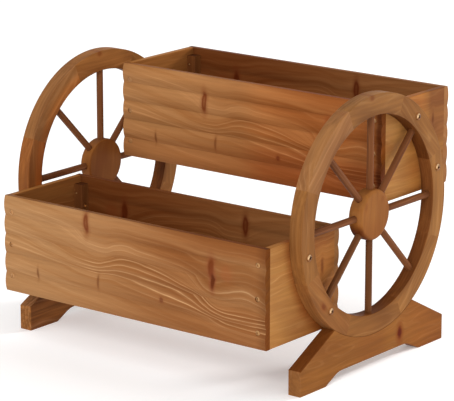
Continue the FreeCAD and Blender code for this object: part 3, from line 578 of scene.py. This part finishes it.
# knots on the felloes: y and z in millimetres, half length, half width, strength
SPOTS = {1: (164, 211, 6, 5, 0.55), 2: (177, 400, 7, 6, 0.6), 3: (-4, 470, 6, 5, 0.4), 4: (-79, 462, 6, 5, 0.6),
         5: (-180, 176, 8, 6, 0.6), 6: (-135, 141, 9, 6, 0.55)}
FELLOE_TINT = {1: (1.06, 1.10, 1.15), 2: (0.98, 0.98, 0.98), 3: (0.94, 0.95, 1.0), 4: (1.12, 1.18, 1.50),
               5: (0.97, 0.95, 0.94), 6: (0.99, 0.93, 0.92), 7: (0.90, 0.86, 0.80), 8: (1.06, 1.07, 1.06)}
screw_metal = steel("screw_metal", (222, 186, 138), 0.26)
screw_proud = steel("screw_proud", (236, 196, 148), 0.32, proud=True)
screw_dull = steel("screw_dull", (184, 140, 94), 0.42, stained=True)
for n, (name, obj) in enumerate(sorted(nodes.items())):
    seed = 1.0 + n * 0.73
    if name.endswith("screws"):
        finishes = {"board_screws": screw_dull, "wheel_screws": screw_proud}
        give(obj, finishes.get(name, screw_metal))
    elif name.endswith("front_board"):
        low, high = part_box(obj.name)
        upper = name.startswith("upper")
        if upper:
            board = beaded(name, (low[0], low[1], low[2]), 1, 3.0, 0.75, lines=0.55, bead_shade=0.56, knot=125.0,
                           second=0.3, spoke_shadow=1.0,
                           tone_and_shade=[(across_region(0, -30, 45), (1.20, 1.15, 1.10)),
                                   (across_region(2, 340, 300), (0.97, 0.90, 0.86)),
                                   (both(across_region(0, -30, 45), across_region(2, 345, 322)), (0.82, 0.72, 0.68))])
        else:
            board = beaded(name, (low[0], low[1], low[2]), 1, 3.0, 0.0,
                           tone_and_shade=[(both(across_region(0, 110, 200), across_region(2, 245, 228), across_region(2, 140, 165)),
                                    (1.04, 1.14, 1.24))])
        give(obj, board)
    elif name.endswith("back_board"):
        low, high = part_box(obj.name)
        give(obj, beaded(name, (high[0], high[1], low[2]), -1, 8.0, 0.4, lines=0.7, bead_shade=0.7, knot=140.0,
                         end_by=0.45))
    elif name.endswith("_side"):
        # painted shade: the upward faces are darker
        tone_and_shade = [(turned_to((0, 0, 1)), (0.80, 0.72, 0.64))]
        spots = []
        if name == "lower_right_side":
            # painted shade on the panel close behind the rim
            tone_and_shade.append((both(round_wheel(230.0, 204.0), round_wheel(160.0, 175.0)), (0.74, 0.56, 0.46)))
            tone_and_shade.append((across_region(1, -222, -120), (0.76, 0.62, 0.52)))
            tone_and_shade.append((across_region(2, 190, 95), (0.80, 0.74, 0.66)))
            spots = [((285, -106, 200), 4, 14, 0.5)]
        elif name == "upper_right_side":
            tone_and_shade.append((across_region(1, 95, 165), (0.93, 0.80, 0.64)))
            tone_and_shade.append((across_region(1, 175, 205), (0.70, 0.72, 0.74)))
            tone_and_shade.append((both(across_region(1, 196, 210), across_region(2, 345, 372)), (0.80, 0.72, 0.76)))
            spots = [((285, 214, 393), 3, 12, 0.45)]
        inward = -1 if "right" in name else 1
        # painted shade on the inward faces, inside the box
        tone_and_shade.append((turned_to((inward, 0, 0)), (0.64, 0.52, 0.46)))
        give(obj, timber(name, "panel", (0, 1, 0), (0, 0, 1), centre(obj), seed, spacing=8.0, wobble=34.0,
                         lines=0.35 if name == "upper_right_side" else 0.6, spots=spots, tone_and_shade=tone_and_shade))
    elif "felloe" in name:
        c = centre(obj)
        r = Vector((0, c.y - WHEEL_Y, c.z - WHEEL_Z)).normalized()
        k = int(name[-1])
        outer = 310 if name.startswith("right") else -310
        spots = [((outer, *SPOTS[k][:2]), *SPOTS[k][2:])] if k in SPOTS else []
        tint = FELLOE_TINT[k]
        if outer < 0:
            # painted shade: the left wheel's felloes are darker, apart from felloes 3 and 5, which take tints of their
            # own
            tint = {3: (1.0, 0.93, 0.92), 5: (1.02, 0.83, 0.75)}.get(k, tuple(c * d for c, d in zip(tint, (0.90, 0.86, 0.80))))
        inner_face = (0.76, 0.62, 0.58) if outer > 0 and k in (1, 8) else (0.64, 0.50, 0.40)
        tone_and_shade = [(turned_to(-r), inner_face), (round_wheel(185.0, 173.0), (0.82, 0.78, 0.74))]
        if outer < 0 and k in (4, 5):
            tone_and_shade.append((both(turned_to((1, 0, 0)), round_wheel(196.0, 182.0)), (1.22, 1.0, 0.76)))
        give(obj, timber(name, "rim", (0, -r.z, r.y), r, c, seed, spacing=5.5, wobble=20.0, lines=0.40, tint=tint,
                         spots=spots, streaks=0.22, tone_and_shade=tone_and_shade))
    elif "spoke" in name:
        c = centre(obj)
        r = Vector((0, c.y - WHEEL_Y, c.z - WHEEL_Z)).normalized()
        give(obj, timber(name, "spoke", r, (1, 0, 0), c, seed, spacing=5.0, wobble=14.0, lines=0.5,
                         tint=(0.84, 0.90, 0.94) if name[-1] in "67" else (1, 1.01, 1.06), specular=0.08))
    elif "hub" in name:
        # painted shade: the hub is darker where it faces -Y
        tone_and_shade = [(turned_to((0, -1, 0), 0.2, 0.8), (0.92, 0.86, 0.80))]
        spots = []
        if name == "left_hub":
            # painted shade: the left hub's face that looks in towards the boxes is darker
            tone_and_shade.append((turned_to((1, 0, 0), 0.2, 0.8), (0.74, 0.66, 0.56)))
        else:
            rim_side = turned_to((0, -0.96, -0.28), 0.1, 0.75)
            # painted shade darkens the front of the hub and, much more, the round side below; the face is also darker
            # and redder below; paler patches of painted light sit at the height of the sockets
            tone_and_shade.append((across_region(1, 0, -26), (0.94, 0.90, 0.84)))
            tone_and_shade.append((across_region(2, 272, 232), (0.95, 0.88, 0.80)))
            tone_and_shade.append((both(rim_side, across_region(2, 258, 244)), (0.54, 0.42, 0.36)))
            tone_and_shade.append((both(turned_to((0, -1, 0), 0.0, 0.5), across_region(2, 280, 288), across_region(2, 304, 297)),
                           (1.02, 1.10, 1.28)))
            tone_and_shade.append((both(rim_side, across_region(2, 252, 262), across_region(2, 284, 276)), (1.10, 1.22, 1.55)))
            spots = [((310, -16, 286), 9, 4, 0.22), ((310, 30, 292), 7, 5, 0.18)]
        give(obj, timber(name, "hub", (0, 0.12, 1), (0, 1, 0), centre(obj), seed, spacing=9.0, wobble=30.0,
                         lines=0.22, end_by=0.6, streaks=0.10, spots=spots, tone_and_shade=tone_and_shade))
    elif "foot" in name:
        outer = 310 if name.startswith("right") else -310
        if outer > 0:
            wobble, lines, streaks, tint, front = 34.0, 0.34, 0.18, (1, 1, 1), (1, 1, 1)
            on_top, on_end = (0.66, 0.52, 0.42), (1.08, 1.20, 1.75)
        else:
            # painted shade: the left foot, under the lower box, is darker all over and darker still on its inner face
            # towards the front, while its upward and front faces are painted lighter again
            wobble, lines, streaks, tint, front = 16.0, 0.75, 0.50, (0.74, 0.71, 0.86), (0.82, 0.78, 0.78)
            on_top, on_end = (1.34, 1.46, 1.70), (1.70, 1.95, 2.10)
        give(obj, timber(name, "foot", (0, 1, 0), (0, 0, 1), centre(obj), seed, spacing=6.5, wobble=wobble,
                         lines=lines, end_by=0.1, streaks=streaks, tint=tint,
                         spots=[((outer, 87, 42), 8, 15, 1.1)],
                         tone_and_shade=[(turned_to((0, 0, 1), 0.2, 0.5), on_top),
                                 (across_region(1, 60, 150), (1.0, 0.90, 0.84)),
                                 (both(turned_to((1, 0, 0)), across_region(1, -120, -200)), front),
                                 (both(across_region(1, -60, -10), across_region(1, 60, 20)), (0.93, 0.87, 0.92)),
                                 (turned_to((0, -1, 0)), on_end)]))
    elif "batten" in name:
        give(obj, timber(name, "inner", (0, 0, 1), (1, 0, 0), centre(obj), seed))
    else:
        give(obj, timber(name, "inner", (1, 0, 0), (0, 1, 0), centre(obj), seed, spacing=8.0))


# ---------------------------------------------------------------- stage, light and camera

def floor():
    me = bpy.data.meshes.new("floor")
    s = 14.0
    me.from_pydata([(-s, -s, 0), (s, -s, 0), (s, s, 0), (-s, s, 0)], [], [(0, 1, 2, 3)])
    o = bpy.data.objects.new("floor", me)
    bpy.context.scene.collection.objects.link(o)
    m, t = start("floor_paper")
    p = t.node("ShaderNodeBsdfPrincipled")
    p.inputs["Base Color"].default_value = (0.92, 0.92, 0.92, 1)
    p.inputs["Roughness"].default_value = 0.9
    p.inputs["Specular IOR Level"].default_value = 0.1
    p.inputs["Emission Color"].default_value = (1, 1, 1, 1)
    p.inputs["Emission Strength"].default_value = 0.22
    out = t.node("ShaderNodeOutputMaterial")
    t.t.links.new(p.outputs[0], out.inputs["Surface"])
    me.materials.append(m)


floor()

scene = bpy.context.scene
world = bpy.data.worlds.new("studio")
world.use_nodes = True
bg = world.node_tree.nodes["Background"]
bg.inputs[0].default_value = (1.0, 1.0, 1.0, 1)
bg.inputs[1].default_value = 0.75
scene.world = world


def softbox(name, at, look, size, power, color=(1, 1, 1), glossy=True):
    d = bpy.data.lights.new(name, "AREA")
    d.shape = "RECTANGLE"
    d.size, d.size_y = size
    d.energy = power
    d.color = color
    o = bpy.data.objects.new(name, d)
    o.location = at
    o.rotation_euler = (Vector(look) - Vector(at)).to_track_quat("-Z", "Y").to_euler()
    o.visible_glossy = glossy
    scene.collection.objects.link(o)


middle = (0, 0, 0.24)
softbox("back_right", (1.7, 3.7, 1.7), middle, (0.6, 0.6), 110, glossy=False)
softbox("front_right", (1.4, -3.5, 2.3), middle, (1.4, 1.2), 70)

# camera fitted to the photograph
yaw, pitch, roll = (math.radians(a) for a in (38.206, 14.623, 0.013))
forward = Vector((-math.sin(yaw) * math.cos(pitch), math.cos(yaw) * math.cos(pitch), -math.sin(pitch)))
right = Vector((math.cos(yaw), math.sin(yaw), 0.0))
up = right.cross(forward)
side = right * math.cos(roll) + up * math.sin(roll)
top = up * math.cos(roll) - right * math.sin(roll)
cam = bpy.data.cameras.new("camera")
cam.sensor_fit = "HORIZONTAL"
cam.sensor_width = 36.0
cam.lens = 2695.868 * 36.0 / 454.0
cam.shift_x = -0.022 / 454.0
cam.shift_y = 0.393 / 454.0
view = bpy.data.objects.new("camera", cam)
turn = Matrix((side, top, -forward)).transposed().to_4x4()
turn.translation = Vector((2.812475, -3.571606, 1.429418))
view.matrix_world = turn
scene.collection.objects.link(view)
scene.camera = view
scene.view_settings.view_transform = "Standard"
scene.view_settings.look = "None"
